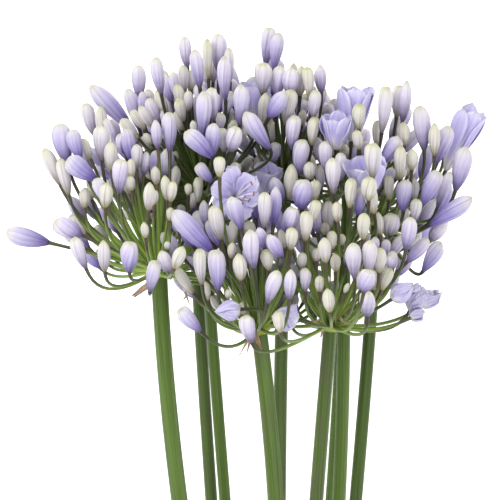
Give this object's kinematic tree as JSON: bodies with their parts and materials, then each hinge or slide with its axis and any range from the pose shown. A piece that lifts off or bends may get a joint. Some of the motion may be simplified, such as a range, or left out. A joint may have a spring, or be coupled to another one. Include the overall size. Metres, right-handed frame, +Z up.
{
  "type": "cut agapanthus flower bunch",
  "caption": "Bunch of cut agapanthus stems with lilac buds and open flowers in round heads, laid down on a flat surface.",
  "frame": {"origin": "on the surface that the bunch lies on, under the middle of its bounding box", "axes": "+Y runs along the stems from the cut ends to the flower heads, +X is across the bunch, +Z is up from the surface"},
  "size_m": [0.3382, 0.851, 0.2772],
  "materials": {
    "stem_green": "waxy satin, fine lengthwise streaks",
    "pedicel_green": "satin, bright green at the root and dark olive under the bud",
    "lilac_petal": "soft matt petal, cream green at the tip and violet at the base",
    "anther_brown": "matt",
    "dry_bract": "thin and papery"
  },
  "bodies": {
    "root": {"scape_1": "stem_green", "scape_2": "stem_green", "scape_3": "stem_green", "scape_4": "stem_green", "scape_5": "stem_green", "scape_6": "stem_green", "scape_7": "stem_green", "scape_8": "stem_green", "scape_9": "stem_green", "umbel_1": "lilac_petal", "umbel_2": "lilac_petal", "umbel_3": "lilac_petal", "umbel_4": "lilac_petal", "umbel_5": "lilac_petal", "umbel_6": "lilac_petal", "umbel_7": "lilac_petal", "umbel_8": "lilac_petal", "umbel_9": "lilac_petal"}
  },
  "joints": []
}
